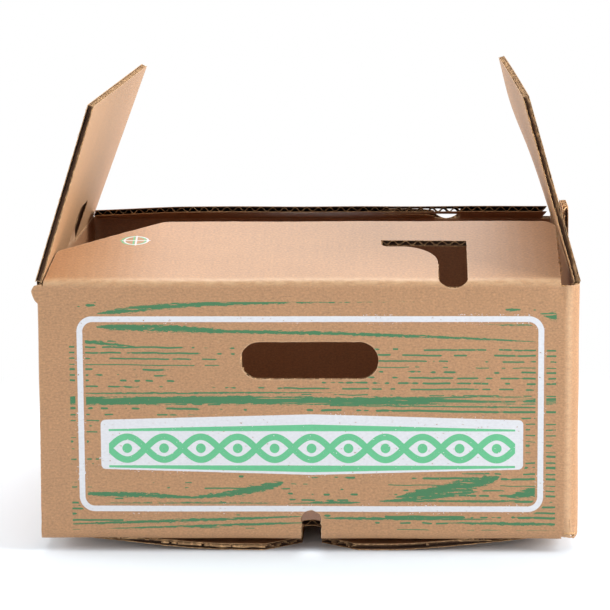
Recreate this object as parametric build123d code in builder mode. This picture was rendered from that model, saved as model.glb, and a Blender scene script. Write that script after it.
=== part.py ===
# Stackable corrugated tray box, standing open with its four top flaps sprung up.
# It is one folded and glued blank. The two side flaps swing on their scores, so each of
# them is a piece of its own here, and everything else is the body.
# X runs across the hand-hole panels and Y from front to back. The origin is on the surface
# that the box stands on, under the middle of its outline. Sizes are in millimetres.
import os
from math import ceil, cos, floor, hypot, pi, radians, sin, tan

from build123d import *

LEFT = FRONT = -1
RIGHT = REAR = 1

# Board
board = 4.2            # thickness, liner to liner
fold_radius = 5.0      # outside radius of a folded score
clearance = 0.3        # between pieces that move past each other

# Fluting, which runs up the walls and shows at the cut edges that cross it
liner = 0.4
flute_pitch = 8.2
medium = 0.35          # thickness of the wavy sheet between the two liners
flute_depth = 8.0      # how far in from a cut edge the gaps beside it go

# Box, measured over the outside of the board
box_width = 350.0
box_depth = 320.0
wall_height = 170.0    # an end panel's foot to its top score
sag = 8.4              # the closed bottom hangs this far below the end panels

# End panels, front and rear, which carry the hand holes
end_panel_left = {FRONT: -172.8, REAR: -170.0}     # the front one is a raw, lapped edge
end_panel_right = 164.0
hand_hole_length = 89.0
hand_hole_height = 24.5
hand_hole_x = 1.2
hand_hole_z = 118.8        # centre, above the panel's foot

# Top flaps of the end panels
end_flap_length = 90.0
end_flap_left = -170.0     # at the score, clear of the side flap
end_flap_right = 162.5
end_flap_shoulder = (-165.6, 46.0)     # X, and distance from the score
end_flap_heel = (-98.0, 90.0)          # where the long cut corner meets the free edge
shoulder_radius = 9.0
heel_radius = 15.0
free_corner_radius = 9.0
front_flap_rise = 17.5     # degrees above level
rear_flap_rise = 11.0

# Drain notch across each end panel's bottom score
notch_x = 1.7
notch_width = 13.1
notch_up_panel = 19.8
notch_along_flap = 20.8

# L-shaped vent slot across each end panel's top score
vent_leg_left = 84.2
vent_leg_right = 103.2
vent_below_score = 4.0
vent_arm_left = 47.1
vent_arm_near = 51.5       # distances from the score
vent_arm_far = 60.7
vent_throat_radius = 24.0
vent_tip_radius = 4.0

# Side flaps
side_flap_margin = 1.5     # short of the box at each end
side_rim_drop = 2.2        # a side wall stops this far below its flap's score
left_flap_length = 120.0
left_flap_lean = (17.6, 20.5)      # degrees in from upright, at the front and rear edges
right_flap_length = 124.0
right_flap_lean = (15.9, 18.0)

# Stacking tabs, cut out of the side flaps and left standing on the side walls
tab_y = 8.0
tab_width = 48.0
tab_height = 28.0
tab_corner = 8.0
tab_gap = 3.0              # between the tab and the edge of the hole that it leaves

# Bottom flaps
inner_bottom_reach = 110.0
inner_bottom_left = -166.0
ride_angle = 30.0          # the inner flaps ride up over the outer ones next to the score
inner_bottom_z = 12.9      # underside of the inner flaps, past that ride
outer_bottom_margin = 4.0
outer_bottom_score = 9.0   # score height of a side wall
outer_bottom_flat = 58.0   # from the middle to the foot of the outer flap's slope
outer_bottom_bend = 500.0
bottom_gap = (-5.0, 8.0)   # X of the two outer flaps' free edges
free_corner_cut = (24.0, 20.0)     # along X and Y
score_corner_cut = (80.0, 12.0)

# Corners of the wall ring
right_front_corner = 10.0
other_corner = 5.0
corner_foot_z = 9.6        # the folded corners reach nearly to the end panels' feet
lap_step = 2.2             # the raw edge sits this far in from the side wall
glue_tab_width = 38.0
glue_tab_inset = 12.0      # shorter than the wall at each end

half_width = box_width / 2
half_depth = box_depth / 2
foot_z = sag
rim_z = foot_z + wall_height
ring_foot_z = outer_bottom_score + fold_radius
ring_top_z = rim_z - side_rim_drop
hinge_x = half_width + clearance


def end_panel_section(end, flap_rise):
    """Section of an end panel and both its flaps, as one folded board."""
    wall_y = end * half_depth
    ride = radians(ride_angle)
    rise = radians(flap_rise)
    # The two lines of the bottom fold meet a little below its rounded foot
    bottom_score_z = foot_z + fold_radius * (1 - tan((pi / 2 + ride) / 2))
    ride_run = (inner_bottom_z - bottom_score_z) / tan(ride)
    with BuildSketch(Plane.YZ.offset(end_panel_left[end])) as section:
        with BuildLine():
            outside = FilletPolyline(
                (wall_y - end * inner_bottom_reach, inner_bottom_z),
                (wall_y - end * ride_run, inner_bottom_z),
                (wall_y, bottom_score_z),
                (wall_y, rim_z),
                (
                    wall_y - end * end_flap_length * cos(rise),
                    rim_z + end_flap_length * sin(rise),
                ),
                radius=(fold_radius, fold_radius, fold_radius),
            )
            offset(outside, amount=board, side=Side.RIGHT if end == FRONT else Side.LEFT)
        make_face()
    return section.sketch


def end_flap_plane(end, flap_rise):
    """Outer face of an end's top flap. Local Y runs from the score to the free edge."""
    rise = radians(flap_rise)
    return Plane(
        origin=(0, end * half_depth, rim_z),
        x_dir=(-end, 0, 0),
        z_dir=(0, end * sin(rise), cos(rise)),
    )


def end_flap_waste(end, plane):
    """What the die takes off around an end's top flap: all but the flap's outline."""
    hand = -end
    with BuildSketch(plane) as waste:
        with Locations((0, end_flap_length / 2)):
            Rectangle(box_width + 2 * board, end_flap_length + 2 * fold_radius)
        with BuildLine():
            FilletPolyline(
                (hand * end_flap_left, -2 * fold_radius),
                (hand * end_flap_left, 0),
                (hand * end_flap_shoulder[0], end_flap_shoulder[1]),
                (hand * end_flap_heel[0], end_flap_heel[1]),
                (hand * end_flap_right, end_flap_length),
                (hand * end_flap_right, -2 * fold_radius),
                radius=(0, 0, shoulder_radius, heel_radius, free_corner_radius, 0),
                close=True,
            )
        make_face(mode=Mode.SUBTRACT)
    return waste.sketch


def vent_slot(end, plane):
    """L-shaped vent: a leg with a round foot across the score, and an arm along the flap."""
    hand = -end
    leg_width = vent_leg_right - vent_leg_left
    leg_x = hand * (vent_leg_left + vent_leg_right) / 2
    leg_foot = leg_width / 2 - vent_below_score
    arm_x = hand * (vent_arm_left + vent_leg_right) / 2
    with BuildSketch(plane) as slot:
        with Locations((leg_x, leg_foot)):
            Circle(leg_width / 2)
            Rectangle(leg_width, vent_arm_far - leg_foot, align=(Align.CENTER, Align.MIN))
        with Locations((arm_x, vent_arm_near)):
            Rectangle(
                vent_leg_right - vent_arm_left,
                vent_arm_far - vent_arm_near,
                align=(Align.CENTER, Align.MIN),
            )
        near_edge = slot.vertices().filter_by_position(Axis.Y, vent_arm_near, vent_arm_near)
        tip, throat = near_edge.sort_by(lambda corner: abs(corner.X))[:2]
        fillet(throat, vent_throat_radius)
        fillet(tip, vent_tip_radius)
    return slot.sketch


def whole_waves(low, high):
    """Places of the waves of the medium that fit between two ends of a cut edge.

    The gaps of one wave start half a pitch before its place and end a whole pitch past it.
    """
    first = ceil(low / flute_pitch + 0.5)
    last = floor(high / flute_pitch - 1)
    return [wave * flute_pitch for wave in range(first, last + 1)]


def flute_gaps(planes):
    """Gaps above and below one wave of the medium, on each of these planes.

    A plane lies on a cut edge: its X runs along the edge, and its Y across the board from
    the outer liner in.
    """
    core = board - 2 * liner
    half_wave = flute_pitch / 2
    flank = hypot(half_wave, core)
    half_gap = half_wave - medium / 2 * flank / core
    gap_height = core - medium / 2 * flank / half_wave
    with BuildSketch(*planes) as gaps:
        Polygon(
            (-half_gap, liner),
            (half_gap, liner),
            (0, liner + gap_height),
            align=None,
        )
        Polygon(
            (half_wave - half_gap, board - liner),
            (half_wave, board - liner - gap_height),
            (half_wave + half_gap, board - liner),
            align=None,
        )
    return gaps.sketch


def end_flap_edge(end, flap_plane, from_score, low, high):
    """Planes for the waves along a cut edge of an end's top flap, between two values of X."""
    ends = sorted((-end * low, -end * high))
    return [
        Plane(
            origin=flap_plane.from_local_coords((wave, from_score, 0)),
            x_dir=flap_plane.x_dir,
            z_dir=flap_plane.y_dir,
        )
        for wave in whole_waves(*ends)
    ]


def end_panel(end, flap_rise):
    """Hand-hole panel with its top flap and its inner bottom flap."""
    flap_plane = end_flap_plane(end, flap_rise)
    above_flap = flap_plane.offset(2 * board)
    through_flap = -(3 * board + 1)
    with BuildPart() as panel:
        panel_width = end_panel_right - end_panel_left[end]
        extrude(end_panel_section(end, flap_rise), amount=panel_width)
        extrude(end_flap_waste(end, above_flap), amount=through_flap, mode=Mode.SUBTRACT)
        extrude(vent_slot(end, above_flap), amount=through_flap, mode=Mode.SUBTRACT)
        # Fluting at the flap's free edge and at the arm's far side, where light shines through
        free_edge = end_flap_edge(
            end,
            flap_plane,
            end_flap_length,
            end_flap_heel[0] + heel_radius / 2,
            end_flap_right - free_corner_radius,
        )
        extrude(flute_gaps(free_edge), amount=-flute_depth, mode=Mode.SUBTRACT)
        arm = end_flap_edge(end, flap_plane, vent_arm_far, vent_arm_left, vent_leg_right)
        arm_depth = end_flap_length - vent_arm_far - flute_depth
        extrude(flute_gaps(arm), amount=arm_depth, mode=Mode.SUBTRACT)
        # The inner bottom flap is narrower than its panel
        with BuildSketch(Plane.XY):
            with Locations((inner_bottom_left, end * (half_depth - fold_radius))):
                Rectangle(
                    2 * board,
                    inner_bottom_reach,
                    align=(Align.MAX, Align.MIN if end == FRONT else Align.MAX),
                )
        extrude(amount=inner_bottom_z + 2 * board, mode=Mode.SUBTRACT)
    return panel.part


def side_wall_section(side):
    """Section of a side wall and its outer bottom flap, which sags to the surface."""
    free_edge_x = bottom_gap[0] if side == LEFT else bottom_gap[1]
    with BuildSketch(Plane.XZ) as section:
        with BuildLine():
            outside = FilletPolyline(
                (free_edge_x, 0),
                (side * outer_bottom_flat, 0),
                (side * half_width, outer_bottom_score),
                (side * half_width, ring_top_z),
                radius=(outer_bottom_bend, fold_radius),
            )
            offset(outside, amount=board, side=Side.RIGHT if side == LEFT else Side.LEFT)
        make_face()
    return section.sketch


def side_wall(side):
    """Side wall with its outer bottom flap, and the stacking tab that stands on it."""
    free_edge_x = bottom_gap[0] if side == LEFT else bottom_gap[1]
    wall_x = side * half_width
    with BuildPart() as wall:
        extrude(side_wall_section(side), amount=half_depth - outer_bottom_margin, both=True)
        # The bottom flap's corners are cut off, at its free edge and at the score
        with BuildSketch(Plane.XY.offset(-board)):
            for end in (FRONT, REAR):
                edge_y = end * (half_depth - outer_bottom_margin)
                for corner_x, inward, cut in (
                    (free_edge_x, side, free_corner_cut),
                    (wall_x, -side, score_corner_cut),
                ):
                    with BuildLine():
                        Polyline(
                            (corner_x, edge_y),
                            (corner_x + inward * cut[0], edge_y),
                            (corner_x, edge_y - end * cut[1]),
                            close=True,
                        )
                    make_face()
        extrude(amount=board + ring_foot_z, mode=Mode.SUBTRACT)
        # Stacking tab
        with BuildSketch(Plane.YZ.offset(wall_x)) as tab:
            with Locations((tab_y, ring_top_z)):
                Rectangle(
                    tab_width,
                    side_rim_drop + tab_height,
                    align=(Align.CENTER, Align.MIN),
                )
            fillet(tab.vertices().group_by(Axis.Y)[-1], tab_corner)
        extrude(amount=-side * board)
        tab_top = [
            Plane(origin=(wall_x, side * wave, rim_z + tab_height), x_dir=(0, side, 0))
            for wave in whole_waves(
                side * tab_y - tab_width / 2 + tab_corner / 2,
                side * tab_y + tab_width / 2 - tab_corner / 2,
            )
        ]
        extrude(flute_gaps(tab_top), amount=-flute_depth, mode=Mode.SUBTRACT)
    return wall.part


def ring_plan():
    """The four walls seen from above, with the step where they lap at the left front."""
    with BuildSketch() as plan:
        Rectangle(box_width, box_depth)
        right_front = plan.vertices().group_by(Axis.Y)[0].sort_by(Axis.X)[-1]
        others = plan.vertices().filter_by(lambda corner: corner != right_front)
        fillet(right_front, right_front_corner)
        fillet(others, other_corner)
        offset(amount=-board, mode=Mode.SUBTRACT)
        # Raw edge of the front panel, lapped over the left wall
        with Locations((-half_width, -half_depth)):
            Rectangle(2 * lap_step, 2 * board, mode=Mode.SUBTRACT)
    return plan.sketch


def wall_ring():
    """The walls all round, up to where the end panels fold over at the rim."""
    with BuildPart() as ring:
        with BuildSketch(Plane.XY.offset(ring_foot_z)):
            add(ring_plan())
        extrude(amount=ring_top_z - ring_foot_z)
        with BuildSketch(Plane.XY.offset(rim_z)):
            for end in (FRONT, REAR):
                with Locations((end_panel_left[end], end * half_depth)):
                    Rectangle(
                        end_panel_right - end_panel_left[end],
                        2 * board,
                        align=(Align.MIN, Align.CENTER),
                    )
        extrude(amount=-fold_radius, mode=Mode.SUBTRACT)
        # Folded corners, which stand on past the side walls' bottom scores
        with BuildSketch(Plane.XY.offset(corner_foot_z)):
            with GridLocations(0, box_depth, 1, 2):
                with Locations((half_width, 0)):
                    Rectangle(2 * (half_width - end_panel_right), 2 * right_front_corner)
            with Locations((-half_width, half_depth)):
                Rectangle(2 * other_corner, 2 * right_front_corner)
            add(ring_plan(), mode=Mode.INTERSECT)
        extrude(amount=ring_foot_z - corner_foot_z)
    return ring.part


def side_flap_section(side, length, lean_degrees, at_y):
    """Section of a side flap: a board that rises from the hinge line and leans inward."""
    lean = radians(lean_degrees)

    def place(along, inward):
        return (
            side * (hinge_x - along * sin(lean) - inward * cos(lean)),
            rim_z + along * cos(lean) - inward * sin(lean),
        )

    with BuildSketch(Plane.XZ.offset(-at_y)) as section:
        with BuildLine():
            Polyline(
                place(clearance, 0),
                place(length, 0),
                place(length, board),
                place(clearance, board),
                close=True,
            )
        make_face()
    return section.sketch


def side_flap_edge(side, length, lean_degrees):
    """Planes for the waves along a side flap's free edge, which follow its twist."""
    edge_y = half_depth - side_flap_margin
    planes = []
    for wave in whole_waves(-edge_y, edge_y):
        y = side * wave
        share = (y + edge_y) / (2 * edge_y)
        lean = radians(lean_degrees[0] + share * (lean_degrees[1] - lean_degrees[0]))
        top = Vector(side * (hinge_x - length * sin(lean)), y, rim_z + length * cos(lean))
        rise = Vector(-side * sin(lean), 0, cos(lean))
        planes.append(Plane(origin=top, x_dir=(0, side, 0), z_dir=rise))
    return planes


def side_flap(side, length, lean_degrees):
    """Side flap, twisting a little from front to rear, with the hole its tab came from."""
    mean_lean = radians(sum(lean_degrees) / 2)
    edge_y = half_depth - side_flap_margin
    hole_plane = Plane(
        origin=(side * hinge_x, 0, rim_z),
        x_dir=(0, 1, 0),
        z_dir=(cos(mean_lean), 0, side * sin(mean_lean)),
    )
    with BuildPart() as flap:
        loft(
            [
                side_flap_section(side, length, lean_degrees[0], FRONT * edge_y),
                side_flap_section(side, length, lean_degrees[1], REAR * edge_y),
            ],
            ruled=True,
        )
        with BuildSketch(hole_plane) as hole:
            with Locations((tab_y, -board)):
                Rectangle(
                    tab_width + 2 * tab_gap,
                    board + tab_height + tab_gap,
                    align=(Align.CENTER, Align.MIN),
                )
            fillet(hole.vertices().group_by(Axis.Y)[-1], tab_corner)
        extrude(amount=3 * board, both=True, mode=Mode.SUBTRACT)
        top_edge = side_flap_edge(side, length, lean_degrees)
        extrude(flute_gaps(top_edge), amount=-flute_depth, mode=Mode.SUBTRACT)
    return flap.part


with BuildPart() as box_body:
    add(wall_ring())
    add(side_wall(LEFT))
    add(side_wall(RIGHT))
    add(end_panel(FRONT, front_flap_rise))
    add(end_panel(REAR, rear_flap_rise))
    # Glue tab of the left wall, behind the front panel
    with BuildSketch(Plane.XZ.offset(half_depth - board)) as glue_tab:
        with Locations((-half_width + board / 2, foot_z + glue_tab_inset)):
            Rectangle(
                board / 2 + glue_tab_width,
                wall_height - 2 * glue_tab_inset,
                align=(Align.MIN, Align.MIN),
            )
        chamfer(glue_tab.vertices().group_by(Axis.X)[-1], glue_tab_inset)
    extrude(amount=-board)
    # Hand holes, and the drain notches' upper halves, through both end panels
    with BuildSketch(Plane.XZ):
        with Locations((hand_hole_x, foot_z + hand_hole_z)):
            SlotOverall(hand_hole_length, hand_hole_height)
        with Locations((notch_x, foot_z)):
            SlotOverall(2 * notch_up_panel, notch_width, rotation=90)
    extrude(amount=half_depth + board, both=True, mode=Mode.SUBTRACT)
    # The notches' other halves, in the inner bottom flaps
    for end in (FRONT, REAR):
        with BuildSketch(Plane.XY.offset(foot_z - board / 2)):
            with Locations((notch_x, end * half_depth)):
                SlotOverall(2 * notch_along_flap, notch_width, rotation=90)
        extrude(amount=inner_bottom_z, mode=Mode.SUBTRACT)

with BuildPart() as left_flap:
    add(side_flap(LEFT, left_flap_length, left_flap_lean))

with BuildPart() as right_flap:
    add(side_flap(RIGHT, right_flap_length, right_flap_lean))

os.makedirs("parts", exist_ok=True)
box_body.part.label = "box_body"
left_flap.part.label = "left_flap"
right_flap.part.label = "right_flap"
export_step(box_body.part, "parts/box_body.step")
export_step(left_flap.part, "parts/left_flap.step")
export_step(right_flap.part, "parts/right_flap.step")
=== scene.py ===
# Looks of the corrugated tray box: its board is folded from flat die-cut outlines.
# Each piece is two liners with fluting between them, so that every cut edge shows its layers.
# A blank's points are (across, along): across runs round the walls, or from end to end of a
# side flap, and along runs up the board. The third value, depth, runs from the outer face in.
import math
import random

import bpy
import numpy as np
from mathutils import Matrix, Vector, noise
from mathutils.geometry import delaunay_2d_cdt
from mathutils.kdtree import KDTree


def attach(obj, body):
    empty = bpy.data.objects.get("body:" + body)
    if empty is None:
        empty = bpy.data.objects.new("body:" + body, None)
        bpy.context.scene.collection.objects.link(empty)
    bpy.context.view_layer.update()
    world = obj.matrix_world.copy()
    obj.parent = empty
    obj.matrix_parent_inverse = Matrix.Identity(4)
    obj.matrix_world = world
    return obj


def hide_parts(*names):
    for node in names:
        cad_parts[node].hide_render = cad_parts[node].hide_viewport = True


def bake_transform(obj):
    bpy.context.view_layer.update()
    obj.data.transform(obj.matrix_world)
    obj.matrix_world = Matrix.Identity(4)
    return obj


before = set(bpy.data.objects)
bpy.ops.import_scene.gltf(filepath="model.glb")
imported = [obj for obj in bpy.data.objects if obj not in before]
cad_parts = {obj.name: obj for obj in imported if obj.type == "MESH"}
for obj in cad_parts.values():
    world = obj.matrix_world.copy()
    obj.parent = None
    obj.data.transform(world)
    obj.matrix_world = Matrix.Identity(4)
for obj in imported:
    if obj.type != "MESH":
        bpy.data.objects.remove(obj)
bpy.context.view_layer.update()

MM = 0.001
FRONT = LEFT = -1
REAR = RIGHT = 1

# Board
board = 4.2 * MM
liner = 0.42 * MM
medium_thickness = 0.22 * MM
flute_pitch = 8.2 * MM
fold_radius = 5 * MM
wall_fold_steps = 6
corner_fold_steps = 7
grid_step = 9 * MM
edge_step = 3 * MM
edge_band = 1.3 * MM
fluting_reach = 17 * MM
fluting_step = 1.5 * edge_step
flute_steps = 8
flute_waver = (60, 130)
flute_edge = 2.2 * MM
die_cut_wander = 0.22 * MM
die_cut_waves = 170
torn_step = 0.9 * MM
dent_step = 1.6 * MM
fibre_length = (1.5 * MM, 5.5 * MM)
fibre_half_width = (0.12 * MM, 0.42 * MM)
fibre_thickness = 0.1 * MM
fibre_lift = 0.7 * MM
fibre_root = 0.5 * MM
fibre_steps = 5
smooth_below = math.radians(32)
torn_waves = 420

# Blender starts its noise from the clock, so a seed keeps the ragged edges the same
noise.seed_set(1)

# Box
half_width = 175 * MM
half_depth = 160 * MM
foot_z = 8.4 * MM
rim_z = 178.4 * MM
ring_foot_z = 14 * MM
ring_top_z = 176.2 * MM
corner_foot_z = 8.6 * MM
raw_edge_slant = 1.8 * MM
corner_foot_reach = 7 * MM

# End panels and their flaps, by X and by distance from the top score
end_panel_left = {FRONT: -172.8 * MM, REAR: -170 * MM}
raw_edge_x = end_panel_left[FRONT]
end_panel_right = 164 * MM
end_flap_length = 90 * MM
end_flap_left = -170 * MM
end_flap_right = {FRONT: 162.5 * MM, REAR: 164.3 * MM}
end_flap_corner = {FRONT: 9 * MM, REAR: 0.5 * MM}
shoulder = (-165.6 * MM, 46 * MM)
heel_x = -98 * MM
front_flap_rise = math.radians(17.5)
rear_flap_rise = math.radians(11)
hand_hole = {"x": 1.2 * MM, "z": 127.2 * MM, "length": 89 * MM, "height": 24.5 * MM}
notch_x = 1.7 * MM
notch_half_width = 6.55 * MM
notch_top_z = 28.2 * MM
notch_along_flap = 20.8 * MM
vent_leg = (84.2 * MM, 103.2 * MM)
vent_foot = -4 * MM
vent_arm_left = 47.1 * MM
vent_arm = (51.5 * MM, 60.7 * MM)
vent_throat_radius = 24 * MM

# Bottom flaps
inner_bottom_z = 12.9 * MM
inner_bottom_reach = 110 * MM
inner_bottom_left = -166 * MM
ride_angle = math.radians(30)
outer_bottom_score = 9 * MM
outer_bottom_flat = 58 * MM
outer_bottom_bend = 500 * MM
outer_bottom_edge = 154.4 * MM
bottom_gap = {LEFT: -5 * MM, RIGHT: 8 * MM}
free_corner_cut = (24 * MM, 20 * MM)
score_corner_cut = (80 * MM, 12 * MM)

# Side flaps and stacking tabs
hinge_x = 175.3 * MM
side_flap_end = 158.5 * MM
flap_length = {LEFT: 120 * MM, RIGHT: 124 * MM}
flap_lean = {LEFT: (17.6, 20.5), RIGHT: (15.9, 18.0)}
flap_bow = {LEFT: 0, RIGHT: 3 * MM}
bow_middle, bow_reach = 0.72, 0.26
tab_y = 8 * MM
tab_half_width = 24 * MM
tab_height = 28 * MM
tab_corner = 8 * MM
tab_gap = 3 * MM
glue_tab_reach = 40 * MM
glue_tab_inset = 12 * MM


class FoldedLine:
    """A polyline with rounded corners and a side that is inward.

    Distances run along the sharp polyline, so a corner keeps its mark however it is rounded.
    """

    def __init__(self, corners, radii, start, inward):
        self.corners = np.array(corners, float)
        legs = np.diff(self.corners, axis=0)
        lengths = np.hypot(legs[:, 0], legs[:, 1])
        self.directions = legs / lengths[:, None]
        self.headings = np.arctan2(legs[:, 1], legs[:, 0])
        self.marks = start + np.concatenate([[0], np.cumsum(lengths)])
        self.radii = radii
        self.inward = inward

    def at(self, distance, rounded=True):
        """Points of the line and its inward normals at these distances."""
        distance = np.asarray(distance, float)
        leg = np.searchsorted(self.marks, distance) - 1
        leg = np.clip(leg, 0, len(self.directions) - 1)
        heading = self.headings[leg]
        along = (distance - self.marks[leg])[:, None]
        point = self.corners[leg] + self.directions[leg] * along
        for index, radius in enumerate(self.radii if rounded else ()):
            before = self.headings[index]
            turn, reach = self.corner(index)
            bend = math.copysign(radius, turn)
            past = distance - self.marks[index + 1] + reach
            near = (past > 0) & (past < 2 * reach)
            angle = before + turn * past[near] / (2 * reach)
            start = self.corners[index + 1] - reach * self.directions[index]
            centre = start + bend * leftward(before)
            point[near] = centre - bend * leftward(angle)
            heading[near] = angle
        return point, self.inward * leftward(heading)

    def corner(self, index):
        """Turn of a rounded corner, and its reach to each side of its mark."""
        turn = self.headings[index + 1] - self.headings[index]
        turn = (turn + math.pi) % (2 * math.pi) - math.pi
        return turn, self.radii[index] * math.tan(abs(turn) / 2)

    def fold_marks(self, steps):
        """Distances that divide each rounded corner, and its two ends."""
        marks = []
        for index, middle in enumerate(self.marks[1:-1]):
            _, reach = self.corner(index)
            marks += list(np.linspace(middle - reach, middle + reach, steps + 1))
        return marks


def leftward(heading):
    """Unit vectors to the left of these headings."""
    return np.stack([-np.sin(heading), np.cos(heading)], axis=-1)


def end_panel_line(rise):
    """Outer face of an end panel and its two flaps, as (inward, up)."""
    bottom_score_z = foot_z + fold_radius * (1 - math.tan((math.pi / 2 + ride_angle) / 2))
    ride_run = (inner_bottom_z - bottom_score_z) / math.tan(ride_angle)
    corners = [
        (inner_bottom_reach, inner_bottom_z),
        (ride_run, inner_bottom_z),
        (0, bottom_score_z),
        (0, rim_z),
        (end_flap_length * math.cos(rise), rim_z + end_flap_length * math.sin(rise)),
    ]
    slant = math.hypot(ride_run, inner_bottom_z - bottom_score_z)
    start = bottom_score_z - slant - (inner_bottom_reach - ride_run)
    return FoldedLine(corners, (fold_radius,) * 3, start, inward=-1)


def side_wall_line(side):
    """Outer face of a side wall with its bottom flap and stacking tab, as (inward, up)."""
    free_edge = half_width - side * bottom_gap[side]
    flat_start = half_width - outer_bottom_flat
    slope = math.hypot(flat_start, outer_bottom_score)
    corners = [
        (free_edge, 0),
        (flat_start, 0),
        (0, outer_bottom_score),
        (0, rim_z + tab_height),
    ]
    start = outer_bottom_score - slope - (free_edge - flat_start)
    return FoldedLine(corners, (outer_bottom_bend, fold_radius), start, inward=-1)


# Plan of the walls: the front panel's raw edge, once round, and the glue tab behind it
plan = FoldedLine(
    [
        (raw_edge_x, -half_depth),
        (half_width, -half_depth),
        (half_width, half_depth),
        (-half_width, half_depth),
        (-half_width, -half_depth + board),
        (-half_width + glue_tab_reach, -half_depth + board),
    ],
    (10 * MM, fold_radius, fold_radius, fold_radius),
    start=0,
    inward=1,
)
corner_marks = plan.marks[1:5]
panel_lines = [
    end_panel_line(front_flap_rise),
    side_wall_line(RIGHT),
    end_panel_line(rear_flap_rise),
    side_wall_line(LEFT),
]


def front_across(x):
    return x - raw_edge_x


def right_across(y):
    return corner_marks[0] + half_depth + y


def rear_across(x):
    return corner_marks[1] + half_width - x


def left_across(y):
    return corner_marks[2] + half_depth - y


def end_mark(end, inward):
    """Distance mark of a point on an end panel's bottom flap, by how far in it lies."""
    line = panel_lines[0 if end == FRONT else 2]
    ride_run = line.corners[1][0]
    if inward > ride_run:
        return line.marks[1] - (inward - ride_run)
    return line.marks[2] - inward / math.cos(ride_angle)


def dented(across, along, depth):
    """Depths moved by the dents and by the board's slight unevenness."""
    depth = np.array(depth, float)
    for centre, reach, push in dents:
        off = np.hypot(across - centre[0], along - centre[1]) / reach
        depth += push * np.clip(1 - off ** 2, 0, None) ** 2
    across_wave, along_wave = across * wall_waves, along * wall_waves
    swell = np.sin(across_wave + 1.3 * np.sin(0.7 * along_wave))
    swell *= np.sin(1.3 * along_wave + np.sin(0.6 * across_wave))
    return depth + wall_unevenness * swell


def place_on_body(across, along, depth):
    """Folds flat points of the blank into the standing box."""
    depth = dented(across, along, depth)
    # The last bottom flap's ragged edge stays on its own wall, short of the glue tab
    last = corner_marks[3] - 0.1 * MM
    across = np.where(along < foot_z, np.minimum(across, last), across)
    walls, normals = plan.at(across)
    sharp_walls, sharp_normals = plan.at(across, rounded=False)
    inward = np.array(depth)
    height = np.array(along)
    ends = np.concatenate([[-1], corner_marks])
    for panel, line in enumerate(panel_lines):
        on = (across > ends[panel]) & (across <= ends[panel + 1])
        point, normal = line.at(along[on])
        inward[on] = point[:, 0] + normal[:, 0] * depth[on]
        height[on] = point[:, 1] + normal[:, 1] * depth[on]
    on_flap = inward > 2 * fold_radius
    walls[on_flap] = sharp_walls[on_flap]
    normals[on_flap] = sharp_normals[on_flap]
    return np.column_stack([walls + normals * inward[:, None], height])


def place_on_flap(side):
    """Folding of a side flap: a ruled board between its leans at the front and the rear."""
    lines = []
    for lean in map(math.radians, flap_lean[side]):
        top = (
            flap_length[side] * math.sin(lean) - (hinge_x - half_width),
            rim_z + flap_length[side] * math.cos(lean),
        )
        corners = [(0, rim_z - fold_radius), (half_width - hinge_x, rim_z), top]
        lines.append(FoldedLine(corners, (fold_radius,), -fold_radius, inward=-1))

    def place(across, along, depth):
        y = side * across
        share = (y + side_flap_end) / (2 * side_flap_end)
        off_bow = (along / flap_length[side] - bow_middle) / bow_reach
        depth = depth + flap_bow[side] * share ** 3 * np.exp(-off_bow ** 2)
        sections = []
        for line in lines:
            point, normal = line.at(along)
            sections.append(point + normal * depth[:, None])
        point = sections[0] + (sections[1] - sections[0]) * share[:, None]
        return np.column_stack([side * (half_width - point[:, 0]), y, point[:, 1]])

    return place


# Crushed places: centre, reach, and how far the board is pushed in
dents = (
    ((corner_marks[0] - 1 * MM, 11 * MM), 10 * MM, -1.8 * MM),
    ((corner_marks[0] - 12 * MM, 172 * MM), 9 * MM, 0.8 * MM),
)
wall_waves = 45
wall_unevenness = 0.25 * MM

# Torn places of the body's blank: centre, reach, and how far the edge wanders
right_slot = (front_across(164 * MM), 177 * MM)
torn_body = (
    ((-3 * MM, 170 * MM), 9 * MM, 1.2 * MM),
    (right_slot, 9 * MM, 2.6 * MM),
    ((front_across(end_flap_right[FRONT]), rim_z + 34 * MM), 34 * MM, 1.0 * MM),
    ((corner_marks[0] - 3 * MM, 9 * MM), 12 * MM, 2.2 * MM),
    ((front_across(notch_x), 17 * MM), 16 * MM, 0.9 * MM),
    ((left_across(-outer_bottom_edge), -80 * MM), 90 * MM, 1.2 * MM),
    ((right_across(-outer_bottom_edge), -80 * MM), 90 * MM, 1.2 * MM),
)
# Small holes torn through it: middle and radius
torn_holes = (
    ((corner_marks[0] - 2.5 * MM, 11.4 * MM), 0.9 * MM),
)


# Flat outlines
def rounded(corners, radii, step=1.2 * MM):
    """Closed outline with its corners rounded."""
    outline = []
    count = len(corners)
    for index, radius in enumerate(radii):
        corner = Vector(corners[index])
        before = (Vector(corners[index - 1]) - corner).normalized()
        after = (Vector(corners[(index + 1) % count]) - corner).normalized()
        if radius == 0:
            outline.append(tuple(corner))
            continue
        half_angle = before.angle(after) / 2
        centre = corner + (before + after).normalized() * (radius / math.sin(half_angle))
        start = corner + before * (radius / math.tan(half_angle)) - centre
        turn = math.pi - 2 * half_angle
        direction = math.copysign(1, before.cross(after))
        steps = max(2, round(radius * turn / step))
        for share in range(steps + 1):
            spoke = start.copy()
            spoke.rotate(Matrix.Rotation(-direction * turn * share / steps, 2))
            outline.append(tuple(centre + spoke))
    return outline


def rectangle(low, high):
    return [low, (high[0], low[1]), high, (low[0], high[1])]


# Share of a full round, which leaves a slot's end a short flat
round_end = 0.999


def stadium(middle, half_length, radius, upright=False):
    """Slot with round ends."""
    reach = half_length, radius
    if upright:
        reach = radius, half_length
    low = (middle[0] - reach[0], middle[1] - reach[1])
    high = (middle[0] + reach[0], middle[1] + reach[1])
    return rounded(rectangle(low, high), [radius * round_end] * 4)


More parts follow.
